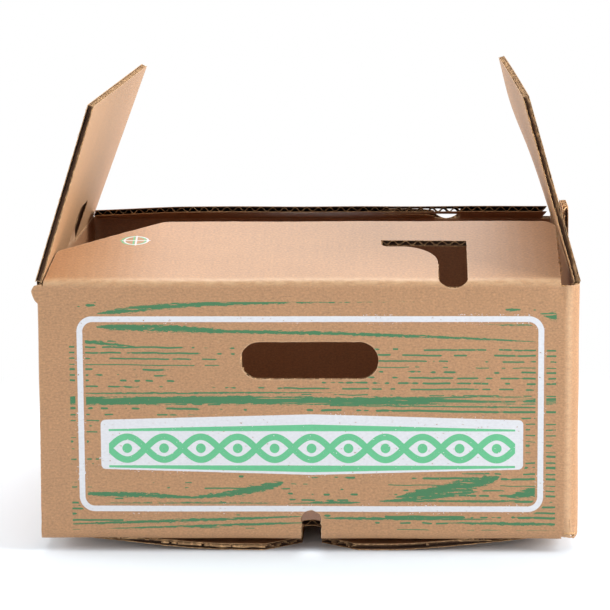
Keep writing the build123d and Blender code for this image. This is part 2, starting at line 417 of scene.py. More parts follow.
def rough(outline, torn_spots):
    """The same outline with short edges, a little uneven all over and ragged at the torn spots.

    A torn spot is its centre, its reach, and how far its edge wanders.
    """
    def torn_near(point):
        near = [spot for spot in torn_spots if math.dist(point, spot[0]) < spot[1]]
        return near[0] if near else None

    points = []
    for start, end in zip(outline, outline[1:] + outline[:1]):
        length = math.dist(start, end)
        middle = [(a + b) / 2 for a, b in zip(start, end)]
        close = any(
            math.dist(middle, centre) < reach + length / 2 for centre, reach, _ in torn_spots
        )
        count = max(1, math.ceil(length / (torn_step if close else edge_step)))
        for index in range(count):
            share = index / count
            point = Vector([a + (b - a) * share for a, b in zip(start, end)])
            wander = die_cut_wander
            waves = die_cut_waves
            spot = torn_near(point)
            if spot:
                centre, reach, amount = spot
                wander += amount * (1 - math.dist(point, centre) / reach)
                waves = torn_waves
            shift = noise.noise_vector(Vector((*point * waves, 0)))
            points.append(tuple(point + Vector(shift[:2]) * wander))
    return points


def inside(outline, points):
    """Which of these points lie inside an outline."""
    order = np.argsort(points[:, 1])
    x, y = points[order].T
    crossed = np.zeros(len(points), bool)
    for (x0, y0), (x1, y1) in zip(outline, outline[1:] + outline[:1]):
        if y0 == y1:
            continue
        first, last = np.searchsorted(y, (min(y0, y1), max(y0, y1)), side="right")
        beside = slice(first, last)
        crossed[beside] ^= x[beside] < x0 + (y[beside] - y0) * (x1 - x0) / (y1 - y0)
    found = np.empty(len(points), bool)
    found[order] = crossed
    return found


class Blank:
    """A flat piece of board: outlines that are board, outlines cut out of it, and its folds."""

    def __init__(self, place, solids, holes, fold_rows=(), fold_columns=(), torn=()):
        self.place = place
        self.solids = [rough(outline, torn) for outline in solids]
        self.holes = [rough(outline, torn) for outline in holes]
        self.fold_rows = fold_rows
        self.fold_columns = fold_columns

    def contains(self, points):
        board_here = np.zeros(len(points), bool)
        for outline in self.solids:
            board_here |= inside(outline, points)
        for outline in self.holes:
            board_here &= ~inside(outline, points)
        return board_here

    def triangles(self):
        """Flat points, and triangles that face outward."""
        points, edges = [], []
        for outline in self.solids + self.holes:
            first = len(points)
            points += outline
            numbers = list(range(first, len(points)))
            edges += list(zip(numbers, numbers[1:] + numbers[:1]))
        corners = np.array([point for outline in self.solids for point in outline])
        low, high = corners.min(0), corners.max(0)
        columns = list(np.arange(low[0] + grid_step / 2, high[0], grid_step))
        rows = list(np.arange(low[1] + grid_step / 2, high[1], grid_step))
        columns += [mark for start, end, mark in self.fold_columns]
        rows += [mark for start, end, mark in self.fold_rows]
        grid = np.array([(x, y) for x in columns for y in rows])
        extra = np.concatenate([grid, self.beside_edges(), *map(dent_grid, dents)])
        points += [tuple(point) for point in extra[self.contains(extra)]]
        for start, end, mark in self.fold_rows:
            edges.append((len(points), len(points) + 1))
            points += [(start, mark), (end, mark)]
        for start, end, mark in self.fold_columns:
            edges.append((len(points), len(points) + 1))
            points += [(mark, start), (mark, end)]
        flat = [Vector(point) for point in points]
        found, _, faces, _, _, _ = delaunay_2d_cdt(flat, edges, [], 0, 1e-6)
        found = np.array([tuple(point) for point in found])
        faces = np.array([tuple(face) for face in faces])
        faces = faces[self.contains(found[faces].mean(1))]
        used, faces = np.unique(faces, return_inverse=True)
        return found[used], faces.reshape(-1, 3)

    def beside_edges(self):
        """Points a little to each side of every outline, to bound the worn strip there."""
        beside = []
        for outline in self.solids + self.holes:
            points = np.array(outline)
            along = np.roll(points, -1, 0) - np.roll(points, 1, 0)
            along /= np.hypot(along[:, 0], along[:, 1])[:, None] + 1e-12
            across = np.column_stack([-along[:, 1], along[:, 0]]) * edge_band
            beside += [points + across, points - across]
        return np.concatenate(beside)


def dent_grid(dent):
    """Points close enough together to show a dent's shape."""
    (x, y), reach, _ = dent
    steps = np.arange(-reach, reach, dent_step)
    return np.array([(x + across, y + along) for across in steps for along in steps])


def boundary_edges(faces):
    """Directed edges that belong to one triangle only."""
    edges = np.concatenate([faces[:, [0, 1]], faces[:, [1, 2]], faces[:, [2, 0]]])
    seen = {tuple(edge) for edge in edges}
    return [edge for edge in seen if (edge[1], edge[0]) not in seen]


def build_mesh(name, points, faces, finishes, materials, blank_points, wear):
    """Blender mesh object with a blank map in metres and an edge-wear attribute."""
    mesh = bpy.data.meshes.new(name)
    mesh.from_pydata([tuple(point) for point in points], [], faces)
    for material in materials:
        mesh.materials.append(material)
    mesh.polygons.foreach_set("material_index", finishes)
    blank_map = mesh.uv_layers.new(name="blank")
    corners = np.zeros(len(mesh.loops), int)
    mesh.loops.foreach_get("vertex_index", corners)
    blank_map.uv.foreach_set("vector", np.asarray(blank_points)[corners].ravel())
    worn_and_highlit = mesh.attributes.new("edge_wear", "FLOAT", "POINT")
    worn_and_highlit.data.foreach_set("value", np.asarray(wear, float))
    mesh.shade_smooth()
    mesh.set_sharp_from_angle(angle=smooth_below)
    mesh.validate()
    piece = bpy.data.objects.new(name, mesh)
    bpy.context.scene.collection.objects.link(piece)
    return piece


OUTER, INNER, CUT = 0, 1, 2


def liners(name, blank, materials, outer_finish=None):
    """Both liners of a blank as one piece, each a thin closed sheet."""
    flat, triangles = blank.triangles()
    edges = boundary_edges(triangles)
    on_edge = np.zeros(len(flat))
    on_edge[[corner for edge in edges for corner in edge]] = 1
    count = len(flat)
    points, faces, finishes = [], [], []
    # The liners' faces within the board take the cut finish, whose dark colour is painted shade
    # of the hollows
    for top, bottom, top_finish, bottom_finish in (
        (0, liner, OUTER, CUT),
        (board - liner, board, CUT, INNER),
    ):
        base = 2 * count if points else 0
        for depth in (top, bottom):
            points.append(blank.place(flat[:, 0], flat[:, 1], np.full(count, float(depth))))
        upper = triangles + base
        lower = triangles[:, ::-1] + base + count
        faces += [tuple(face) for face in upper] + [tuple(face) for face in lower]
        finishes += [top_finish] * len(upper) + [bottom_finish] * len(lower)
        for start, end in edges:
            start, end = start + base, end + base
            faces.append((end, start, start + count, end + count))
            finishes.append(CUT)
    if outer_finish:
        middles = flat[triangles].mean(1)
        finishes[:len(triangles)] = outer_finish(middles)
    return build_mesh(
        name,
        np.concatenate(points),
        faces,
        finishes,
        materials,
        np.tile(flat, (4, 1)),
        np.tile(on_edge, 4),
    )


def fluting(name, blank, material):
    """The wavy medium between the liners, as far in as a cut edge lets it be seen."""
    outline = [point for shape in blank.solids + blank.holes for point in shape]
    tree = KDTree(len(outline))
    for index, point in enumerate(outline):
        tree.insert((*point, 0), index)
    tree.balance()
    corners = np.array(outline)
    low, high = corners.min(0), corners.max(0)
    columns = np.arange(low[0], high[0], flute_pitch / flute_steps)
    folds = [mark for _, _, mark in blank.fold_rows]
    marks = sorted({*folds, *np.arange(low[1], high[1], fluting_step)})
    runs = board_runs(blank, columns, marks)
    half = board / 2 - liner - medium_thickness / 2
    flat, depths, wear, faces = [], [], [], []
    for index in range(len(columns) - 1):
        left, right = runs[index], runs[index + 1]
        if len(left) != len(right):
            right = left
        for near, far in zip(left, right):
            if len(near) != len(far):
                far = near
            for part in range(len(near) - 1):
                quad = [
                    (columns[index], near[part]),
                    (columns[index + 1], far[part]),
                    (columns[index + 1], far[part + 1]),
                    (columns[index], near[part + 1]),
                ]
                middle = (near[part] + near[part + 1] + far[part] + far[part + 1]) / 4
                steepest = max(abs(far[part] - near[part]), abs(far[part + 1] - near[part + 1]))
                to_edge = tree.find((columns[index], middle, 0))[2]
                if steepest > edge_step or to_edge > fluting_reach:
                    continue
                faces.append(tuple(range(len(flat), len(flat) + 4)))
                flat += quad
                # Run ends at a cut stay pale; the rest of the medium shows the dark painted shade
                first_end = to_edge < flute_edge or part == 0
                last_end = to_edge < flute_edge or part == len(near) - 2
                wear += [first_end, first_end, last_end, last_end]
                for column, mark in quad:
                    place = column * flute_waver[0], mark * flute_waver[1], 0
                    uneven = noise.noise_vector(Vector(place))
                    wave = math.sin(2 * math.pi * column / flute_pitch + 0.7 * uneven[0])
                    wave = wave * (1 - 0.35 * abs(uneven[1])) + 0.3 * uneven[2]
                    depths.append(board / 2 + half * max(-1, min(1, wave)))
    flat = np.array(flat)
    points = blank.place(flat[:, 0], flat[:, 1], np.array(depths))
    piece = build_mesh(name, points, faces, [0] * len(faces), [material], flat, wear)
    thicken(piece, medium_thickness)
    return piece


def board_runs(blank, columns, marks):
    """Stretches of board along each flute line, each as a list of marks."""
    edges = np.array([
        (*start, *end)
        for outline in blank.solids + blank.holes
        for start, end in zip(outline, outline[1:] + outline[:1])
    ])
    x0, y0, x1, y1 = edges.T
    spans = []
    for column in columns:
        cut = (x0 <= column) != (x1 <= column)
        slope = (y1[cut] - y0[cut]) / (x1[cut] - x0[cut])
        crossings = np.sort(y0[cut] + (column - x0[cut]) * slope)
        spans += [(column, low, high) for low, high in zip(crossings, crossings[1:])]
    middles = np.array([(column, (low + high) / 2) for column, low, high in spans])
    runs = {column: [] for column in columns}
    for (column, low, high), solid in zip(spans, blank.contains(middles)):
        if not solid or high - low < 1e-7:
            continue
        found = runs[column]
        if found and abs(found[-1][1] - low) < 1e-6:
            found[-1][1] = high
        else:
            found.append([low, high])
    return [
        [[low] + [mark for mark in marks if low < mark < high] + [high] for low, high in found]
        for found in runs.values()
    ]


def torn_fibres(name, place, runs, materials, seed):
    """Slivers of liner hanging from torn edges. A run is its two ends, a count and a depth.

    The board lies to the left of the way from a run's start to its end.
    """
    chance = random.Random(seed)
    flat, depths, faces = [], [], []
    for start, end, count, depth in runs:
        start, end = Vector(start), Vector(end)
        edge = (end - start).normalized()
        outward = Vector((edge.y, -edge.x))
        for _ in range(count):
            root = start.lerp(end, chance.random()) - outward * fibre_root
            lean = chance.choice((-1, 1)) * chance.uniform(0.5, 1)
            heading = (edge * lean + outward * chance.uniform(0.1, 0.5)).normalized()
            beside = Vector((-heading.y, heading.x))
            length = chance.uniform(*fibre_length)
            lift = chance.uniform(-1, 1) * fibre_lift
            half_width = chance.uniform(*fibre_half_width)
            first = len(flat)
            for step in range(fibre_steps):
                share = step / (fibre_steps - 1)
                middle = root + heading * length * share
                half = half_width * (1 - 0.8 * share)
                flat += [tuple(middle - beside * half), tuple(middle + beside * half)]
                depths += [depth + lift * share ** 2] * 2
            for step in range(fibre_steps - 1):
                corner = first + 2 * step
                faces.append((corner, corner + 1, corner + 3, corner + 2))
    flat = np.array(flat)
    points = place(flat[:, 0], flat[:, 1], np.array(depths))
    piece = build_mesh(name, points, faces, [0] * len(faces), materials, flat, np.ones(len(flat)))
    thicken(piece, fibre_thickness)
    return piece


def thicken(piece, thickness):
    """Welds a sheet and gives it its thickness, half to each side."""
    weld = piece.modifiers.new("weld", "WELD")
    weld.merge_threshold = 1e-5
    solid = piece.modifiers.new("thickness", "SOLIDIFY")
    solid.thickness = thickness
    solid.offset = 0
    bpy.context.view_layer.update()
    ready = piece.evaluated_get(bpy.context.evaluated_depsgraph_get())
    mesh = bpy.data.meshes.new_from_object(ready)
    piece.modifiers.clear()
    piece.data = mesh


# Finishes
def srgb(red, green, blue):
    """Linear colour of an 8-bit display colour."""
    def linear(level):
        level /= 255
        return level / 12.92 if level < 0.04045 else ((level + 0.055) / 1.055) ** 2.4

    return (linear(red), linear(green), linear(blue), 1)


KRAFT = srgb(176, 129, 86)
KRAFT_PALE = srgb(222, 187, 146)
KRAFT_DARK = srgb(120, 80, 50)
KRAFT_INSIDE = srgb(189, 145, 102)
# Inner liner of the walls: a darker copy of the inner liner colour, painted shade for the inside
# of the box
KRAFT_INTERIOR_SHADED = srgb(163, 116, 79)
# Fluting and the faces inside the board: a dark colour that is painted shade of the board's
# hollows
MEDIUM_SHADED = srgb(104, 71, 45)
TORN = srgb(206, 158, 104)
CUT_PALE = srgb(220, 176, 126)
WHITE_INK = srgb(219, 219, 222)
LIGHT_GREEN = srgb(82, 184, 126)
DARK_GREEN = srgb(34, 114, 66)

liner_roughness = 0.55
cut_roughness = 0.95
liner_specular = 0.8
grain_relief = 0.09 * MM
rib_relief = 0.02 * MM
cut_relief = 0.14 * MM
relief_strength = 0.8


class Term:
    """A value in a material's nodes. Arithmetic on it adds math nodes."""

    def __init__(self, tree, socket):
        self.tree, self.socket = tree, socket

    def __add__(self, other):
        return calc("ADD", self, other)

    def __sub__(self, other):
        return calc("SUBTRACT", self, other)

    def __rsub__(self, other):
        return calc("SUBTRACT", other, self)

    def __mul__(self, other):
        return calc("MULTIPLY", self, other)

    def __abs__(self):
        return calc("ABSOLUTE", self)

    __radd__ = __add__
    __rmul__ = __mul__

    def above(self, low, high):
        """0 below low, 1 above high, and a smooth step between; the other way if high < low."""
        rising = low < high
        inputs = {
            "Value": self,
            "From Min": min(low, high),
            "From Max": max(low, high),
            "To Min": 0 if rising else 1,
            "To Max": 1 if rising else 0,
        }
        node = add_node(self.tree, "MapRange", inputs, interpolation_type="SMOOTHSTEP")
        return Term(self.tree, node.outputs["Result"])


def plug(tree, socket, value):
    """Gives a socket a term or a constant."""
    if isinstance(value, Term):
        tree.links.new(value.socket, socket)
    else:
        socket.default_value = value


def add_node(tree, kind, inputs, **settings):
    """A node with its settings, and its inputs by name or number."""
    node = tree.nodes.new(f"ShaderNode{kind}")
    for name, value in settings.items():
        setattr(node, name, value)
    for socket, value in inputs.items():
        plug(tree, node.inputs[socket], value)
    return node


def calc(operation, *values):
    """A math node on these values, one of which at least is a term."""
    tree = next(value.tree for value in values if isinstance(value, Term))
    node = add_node(tree, "Math", dict(enumerate(values)), operation=operation)
    return Term(tree, node.outputs[0])


def larger(first, second):
    return calc("MAXIMUM", first, second)


def smaller(first, second):
    return calc("MINIMUM", first, second)


def distance(across, along):
    """Length of a vector."""
    return calc("SQRT", across * across + along * along)


class Finish:
    """A material over the blank, with ways to write its textures and colours."""

    def __init__(self, name, roughness=liner_roughness):
        self.material = bpy.data.materials.new(name)
        self.material.use_nodes = True
        self.tree = self.material.node_tree
        self.shader = self.tree.nodes["Principled BSDF"]
        self.shader.inputs["Roughness"].default_value = roughness
        self.shader.inputs["Specular IOR Level"].default_value = liner_specular
        blank_map = add_node(self.tree, "UVMap", {}, uv_map="blank")
        place = Term(self.tree, blank_map.outputs[0])
        parts = add_node(self.tree, "SeparateXYZ", {0: place})
        self.across, self.along = (Term(self.tree, parts.outputs[axis]) for axis in (0, 1))

    def noise_at(self, x, y, layer, detail, roughness=0.5):
        """Noise by its place in cycles."""
        place = add_node(self.tree, "CombineXYZ", {0: x, 1: y, 2: layer})
        inputs = {
            "Vector": Term(self.tree, place.outputs[0]),
            "Scale": 1,
            "Detail": detail,
            "Roughness": roughness,
        }
        return Term(self.tree, add_node(self.tree, "TexNoise", inputs).outputs[0])

    def noise(self, across_scale, along_scale, detail=2, layer=0, roughness=0.55):
        """Noise over the blank, by its cycles in a metre each way."""
        x, y = self.across * across_scale, self.along * along_scale
        return self.noise_at(x, y, layer, detail, roughness)

    def inked(self, colour, cover, ink, layer):
        """Ink over the board, uneven in tone and with gaps where its fibres stand up."""
        tone = self.noise(420, 700, layer=layer)
        gaps = tone.above(0.26, 0.32)
        ink = self.scaled(ink, 0.88 + tone * 0.24)
        return self.mix(cover * gaps * 0.96, colour, ink)

    def mix(self, share, first, second):
        """Colour between two others."""
        inputs = {"Factor": share, 6: first, 7: second}
        node = add_node(self.tree, "Mix", inputs, data_type="RGBA")
        return Term(self.tree, node.outputs[2])

    def scaled(self, colour, factor):
        """A constant colour made lighter or darker."""
        inputs = {0: colour[:3], "Scale": factor}
        node = add_node(self.tree, "VectorMath", inputs, operation="SCALE")
        return Term(self.tree, node.outputs[0])

    def edge_wear(self):
        node = add_node(self.tree, "Attribute", {}, attribute_name="edge_wear")
        return Term(self.tree, node.outputs["Fac"])

    def finish(self, colour, height, strength):
        """Plugs in the colour and a bump of this height, in metres."""
        bump = add_node(
            self.tree, "Bump", {"Distance": 1, "Strength": strength, "Height": height}
        )
        self.tree.links.new(bump.outputs[0], self.shader.inputs["Normal"])
        plug(self.tree, self.shader.inputs["Base Color"], colour)
        return self.material


def kraft_colour(finish, base):
    """Kraft liner: paper grain, long fibres, mottle, specks, pale hairs and the flutes' ribs."""
    grain = finish.noise(620, 760, detail=3)
    fibres = finish.noise(240, 1250, layer=2)
    mottle = finish.noise(45, 60, detail=3, layer=3)
    ribs = calc("COSINE", finish.across * (2 * math.pi / flute_pitch))
    tone = 0.25 + grain * 0.98 + fibres * 0.36 + mottle * 0.16 + ribs * 0.012
    colour = finish.scaled(base, tone)
    specks = finish.noise(1500, 1900, detail=1, layer=7).above(0.68, 0.76)
    colour = finish.mix(specks * 0.5, colour, KRAFT_DARK)
    hairs = finish.noise(420, 2300, layer=11).above(0.64, 0.74)
    return finish.mix(hairs * 0.4, colour, KRAFT_PALE), grain, ribs


# Width and shift of the pale strip along the top score: partly rub wear, partly a painted
# highlight on the fold
score_highlight_reach = 7 * MM
score_highlight_shift = 2 * MM
corner_rub = 5 * MM
corner_rub_shift = -6 * MM


def worn_and_highlit(finish, colour):
    """Pale rubbed strips at the corners of the walls and at cut edges, and a pale strip along the
    top score that is partly rub wear and partly a painted highlight where the fold catches the
    light.
    """
    patchy = finish.noise(140, 300, detail=3, layer=17).above(0.35, 0.65)
    wear_and_highlight = finish.edge_wear().above(0.35, 1) * patchy * 0.6
    # Along the top score: a painted highlight on the rounded fold, with patchy rub wear
    off_score = abs(finish.along - (rim_z + score_highlight_shift))
    wear_and_highlight = larger(wear_and_highlight, off_score.above(score_highlight_reach, 0) * (0.25 + patchy * 0.3))
    for corner in corner_marks[:3]:
        off_corner = abs(finish.across - (corner + corner_rub_shift))
        strip = off_corner.above(corner_rub, 0) * (0.2 + patchy * 0.15)
        wear_and_highlight = larger(wear_and_highlight, strip)
    return finish.mix(wear_and_highlight, colour, KRAFT_PALE)


def kraft_surface(finish, colour, grain, ribs):
    """Finished kraft: worn, with a painted highlight along the top score, and the grain in its
    roughness and in its relief.
    """
    plug(finish.tree, finish.shader.inputs["Roughness"], 0.46 + grain * 0.16)
    height = grain * grain_relief + ribs * rib_relief
    return finish.finish(worn_and_highlit(finish, colour), height, relief_strength)


def kraft_finish(name, base):
    finish = Finish(name)
    return kraft_surface(finish, *kraft_colour(finish, base))


def cut_finish(name, base, pale):
    """Cut board: rough, painted dark as the shade inside the board's hollows, with pale torn
    fibres at the very edge.
    """
    finish = Finish(name, cut_roughness)
    grain = finish.noise(1100, 1300, detail=3, layer=5)
    torn = finish.noise(500, 260, detail=3, layer=6).above(0.48, 0.6)
    at_edge = finish.edge_wear().above(0.5, 1)
    # For the medium and the cut edges this dark base is painted shade; the pale mix at the very
    # edge is the cut paper
    colour = finish.scaled(base, 0.45 + grain)
    colour = finish.mix(at_edge * (0.4 + torn * pale), colour, CUT_PALE)
    return finish.finish(colour, grain * cut_relief, 1)


# Print on the front panel. Its places are by X and by height above the standing surface.
border_middle = (1.6 * MM, 91.8 * MM)
border_half = (150.4 * MM, 64.4 * MM)
border_radius = 10 * MM
border_stroke = 3.6 * MM
banner_middle = (2.3 * MM, 71.9 * MM)
banner_half_length = 136.6 * MM
banner_half_height = (16.2 * MM, 20 * MM)
banner_radius = 3 * MM
stripe_inset = 5 * MM
stripe_widths = ((1.3 * MM, 3.3 * MM), (1.5 * MM, 3.1 * MM))
band_middle_z = 69.4 * MM
band_half_height = 11.3 * MM
grain_low = (-153.8 * MM, 15 * MM)
grain_high = (160 * MM, 165.7 * MM)
print_gap = 1.7 * MM
fleck_reach = (2.6 * MM, 0.6 * MM)
ink_edge = 0.15 * MM
print_wander = 0.27 * MM

# Wood grain: rows of dashes, one heavy streak, and long strokes of a brush
dash_pitch = 3.7 * MM
dash_half_width = 0.74 * MM
dash_taper = 22 * MM
# Stretches over which the dashes thin out or crowd: above the hand hole, below the banner,
# at the right of that, and past the border's sides
bare_top = (136 * MM, 141 * MM)
bare_foot = (54 * MM, 50 * MM)
full_foot = (20 * MM, 130 * MM)
full_sides = (138 * MM, 142 * MM)
streak_z = 101 * MM
streak_half_width = 2.7 * MM
streak_wave = 3 * MM
streak_raggedness = 5
streak_splits = (20 * MM, 140 * MM)
grain_wave = 1.6 * MM
grain_slope = 0.008
row_spacing = 7.3
stroke_raggedness = 3.4
strokes = (
    # start, end, how far its middle bows up, greatest width, where along it that is
    ((-136, 157.5), (-60, 164.5), 1.2, 3.8, 0.4),
    ((-118, 161.5), (84, 166), 2.0, 2.9, 0.35),
    ((-143, 163.5), (-136, 163.5), 0, 1.8, 0.5),
    ((127, 160.5), (137, 160.5), 0, 2, 0.5),
    ((149, 158), (162, 155.5), 0, 5, 0.7),
    ((-136, 149.5), (-48, 146), 0.6, 4.6, 0.45),
    ((-64, 146.5), (148, 139.5), 1.2, 2.4, 0.3),
    ((-149, 140), (-111, 136.5), 0, 1.9, 0.35),
    ((108, 152), (148, 150.5), 0, 2.2, 0.5),
    ((-150, 105.6), (20, 106.4), 0, 1.3, 0.4),
    ((50, 97.5), (149, 96.6), 0, 1.2, 0.6),
    ((-150, 39), (-72, 36.5), 0.6, 3.4, 0.4),
    ((-96, 36), (-16, 46.5), -2.6, 5, 0.78),
    ((-150, 31.2), (0, 31.6), 0.6, 3.2, 0.45),
    ((-14, 32.4), (34, 33.6), 0, 2.4, 0.5),
    ((56, 37), (124, 50.5), -1, 7.5, 0.62),
    ((46, 34.5), (110, 41), -1, 3, 0.5),
    ((128, 37), (150, 42), 0, 6, 0.7),
    ((70, 30.6), (150, 31), 0, 2.4, 0.6),
    ((60, 34.4), (150, 34.6), 0, 1.5, 0.6),
    ((-158, 18.6), (-2, 24.2), 0, 2.1, 0.5),
    ((-134, 15.6), (-2, 20), 0, 1.9, 0.6),
    ((10, 23), (120, 22.4), 0, 1.9, 0.4),
    ((88, 20), (168, 19), 0, 2.2, 0.6),
)


def filled(off, limit):
    """Ink where this distance is below a limit, with a soft edge."""
    return off.above(limit + ink_edge, limit)


def outside_rounded(past_x, past_z, radius):
    """Distance outside a rounded outline, from the distances past its sides."""
    past_x, past_z = past_x + radius, past_z + radius
    within = smaller(larger(past_x, past_z), 0)
    return distance(larger(past_x, 0), larger(past_z, 0)) + within - radius


def brush_stroke(x, z, ragged, stroke):
    """One long stroke that swells and tapers out at both ends."""
    (x0, z0), (x1, z1), bow, width, peak = stroke
    share = larger(smaller((x - x0 * MM) * (1 / ((x1 - x0) * MM)), 1), 0)
    line = z0 * MM + share * ((z1 - z0) * MM) + share * (1 - share) * (4 * bow * MM)
    skewed = calc("POWER", share, math.log(0.5) / math.log(peak))
    swell = calc("SQRT", skewed * (1 - skewed))
    half_width = swell * (width * MM + ragged * (stroke_raggedness * width))
    return (half_width - abs(z - line)).above(0, ink_edge)


def dash_rows(finish, x, z):
    """Rows of broken lines, thick in some parts of the panel and thin in others."""
    level = z * (1 / dash_pitch)
    row = calc("FLOOR", level)
    node = add_node(finish.tree, "TexWhiteNoise", {"W": row}, noise_dimensions="1D")
    chance = Term(finish.tree, node.outputs["Value"])
    off = abs((level - row) - ((chance - 0.5) * 0.35 + 0.5)) * dash_pitch
    runs = finish.noise_at(x * 120, row * row_spacing, 31, detail=1)
    crowds = finish.noise_at(x * 26, row * row_spacing, 37, detail=1)
    patches = finish.noise(9, 22, detail=1, layer=41)
    ink = runs * 0.55 + crowds * 0.45 + patches * 0.5
    foot = z.above(*bare_foot)
    bare = 0.735 + z.above(*bare_top) * 0.22 + foot * 0.06
    bare = bare - x.above(*full_foot) * foot * 0.09 - abs(x).above(*full_sides) * 0.05
    thickest = (0.45 + chance * 0.8) * dash_half_width
    half_width = smaller((ink - bare) * dash_taper, thickest)
    return (half_width - off).above(0, ink_edge)


def wood_grain(finish, x, z):
    """Coverage of the green wood grain."""
    bent = z + (finish.noise(70, 70, layer=29) - 0.5) * grain_wave + x * grain_slope
    grain = dash_rows(finish, x, bent)
    ragged = (finish.noise(210, 1150, detail=4, layer=43, roughness=0.7) - 0.5) * MM
    painted = brush_stroke(x, z, ragged, strokes[0])
    for stroke in strokes[1:]:
        painted = larger(painted, brush_stroke(x, z, ragged, stroke))
    skips = finish.noise(60, 760, detail=3, layer=45).above(0.63, 0.65)
    grain = larger(grain, painted * (1 - skips))
    wave = (finish.noise(12, 0, layer=47) - 0.5) * streak_wave
    off = abs((z - wave) - streak_z) + ragged * streak_raggedness
    splits = finish.noise(16, 900, layer=53) + x.above(*streak_splits) * 0.16
    streak = filled(off, streak_half_width - ink_edge) * (1 - splits.above(0.64, 0.66))
    grain = larger(grain, streak)
    for value, low, high in zip((x, z), grain_low, grain_high):
        grain = grain * value.above(low - ink_edge, low) * filled(value, high - ink_edge)
    return grain


def printed_finish():
    """Front panel: kraft, green wood grain, a white border, and a banner with a rope ornament."""
    finish = Finish("printed_kraft")
    colour, paper_grain, ribs = kraft_colour(finish, KRAFT)
    x, z = finish.across + raw_edge_x, finish.along
    wander = (finish.noise(330, 330, detail=3, layer=23) - 0.5) * print_wander

    outside = outside_rounded(
        abs(x - border_middle[0]) - border_half[0],
        abs(z - border_middle[1]) - border_half[1],
        border_radius,
    )
    off_border = abs(outside + border_stroke / 2) + wander - border_stroke / 2

    banner_x = abs(x - banner_middle[0])
    low_half, high_half = banner_half_height
    slope = (high_half - low_half) / banner_half_length
    banner_edge = high_half - banner_x * slope
    off_banner = outside_rounded(
        banner_x - banner_half_length,
        abs(z - banner_middle[1]) - banner_edge,
        banner_radius,
    ) + wander

    grain = wood_grain(finish, x, z)
    for off in (off_border, off_banner):
        grain = grain * off.above(print_gap - ink_edge, print_gap)
    colour = finish.inked(colour, grain, DARK_GREEN, 53)

    flecks = finish.noise(700, 900, layer=57).above(0.62, 0.66)
    flecks = flecks * finish.noise(30, 60, detail=1, layer=58).above(0.50, 0.60)
    flecks = flecks * smaller(off_border, off_banner).above(*fleck_reach)
    white = larger(larger(filled(off_border, 0), filled(off_banner, 0)), flecks)
    colour = finish.inked(colour, white, WHITE_INK, 59)

    # Stripes that swell to the middle, and a rope ornament between them
    swell = 1 - banner_x * (1 / banner_half_length)
    band_z = z - band_middle_z
    light = rope_ornament(x, band_z)
    past_band = (band_z - band_half_height, -band_half_height - band_z)
    for past, (least, growth) in zip(past_band, stripe_widths):
        width = swell * growth + least
        stripe = (past + wander).above(0, ink_edge) * (width - past).above(0, ink_edge)
        light = larger(light, stripe)
    band_end = banner_half_length - stripe_inset
    light = light * filled(banner_x, band_end - ink_edge)
    colour = finish.inked(colour, light, LIGHT_GREEN, 61)

    for slip, ink in ((0, LIGHT_GREEN), (register_slip, WHITE_INK)):
        colour = finish.inked(colour, register_mark(x - slip, z), ink, 63)
    return kraft_surface(finish, colour, paper_grain, ribs)


register_middle = (-116.3 * MM, rim_z + 61 * MM)
register_radius = 7.8 * MM
register_squeeze = 1.3
register_half_width = 0.5 * MM
register_slip = 1.6 * MM


def register_mark(x, z):
    """Ring and cross by which a printer lines up the colours."""
    off_x = x - register_middle[0]
    off_z = (z - register_middle[1]) * register_squeeze
    reach = distance(off_x, off_z)
    lines = larger(smaller(abs(off_x), abs(off_z)), reach - (register_radius + MM))
    return filled(smaller(abs(reach - register_radius), lines), register_half_width)


rope_eyes = 11
rope_pitch = 4 * (banner_half_length - stripe_inset) / rope_eyes
rope_swing = 7.6 * MM
rope_half_width = 2.1 * MM
rope_bead = 3.1 * MM


def rope_ornament(x, z):
    """Two waves that cross, with a bead in each eye."""
    turn = 2 * math.pi / rope_pitch
    along = x - banner_middle[0]
    wave = calc("COSINE", along * turn) * rope_swing
    steep = calc("SINE", along * turn) * (rope_swing * turn)
    off = smaller(abs(z - wave), abs(z + wave))
    strands = filled(calc("DIVIDE", off, calc("SQRT", 1 + steep * steep)), rope_half_width)
    across = calc("PINGPONG", along, rope_pitch / 2)
    across = smaller(across, rope_pitch / 2 - across)
    return larger(strands, filled(distance(across, z), rope_bead))


printed = printed_finish()
plain = kraft_finish("kraft_outside", KRAFT)
inside_face = kraft_finish("kraft_inside", KRAFT_INSIDE)
# The walls' inner liner is drawn darker than the flaps' as painted shade inside the box
interior_shaded = kraft_finish("kraft_interior_shaded", KRAFT_INTERIOR_SHADED)
cut_edge = cut_finish("cut_edge", MEDIUM_SHADED, pale=0.5)
medium = cut_finish("fluted_medium", MEDIUM_SHADED, pale=0.6)
torn_paper = cut_finish("torn_paper", TORN, pale=0.8)


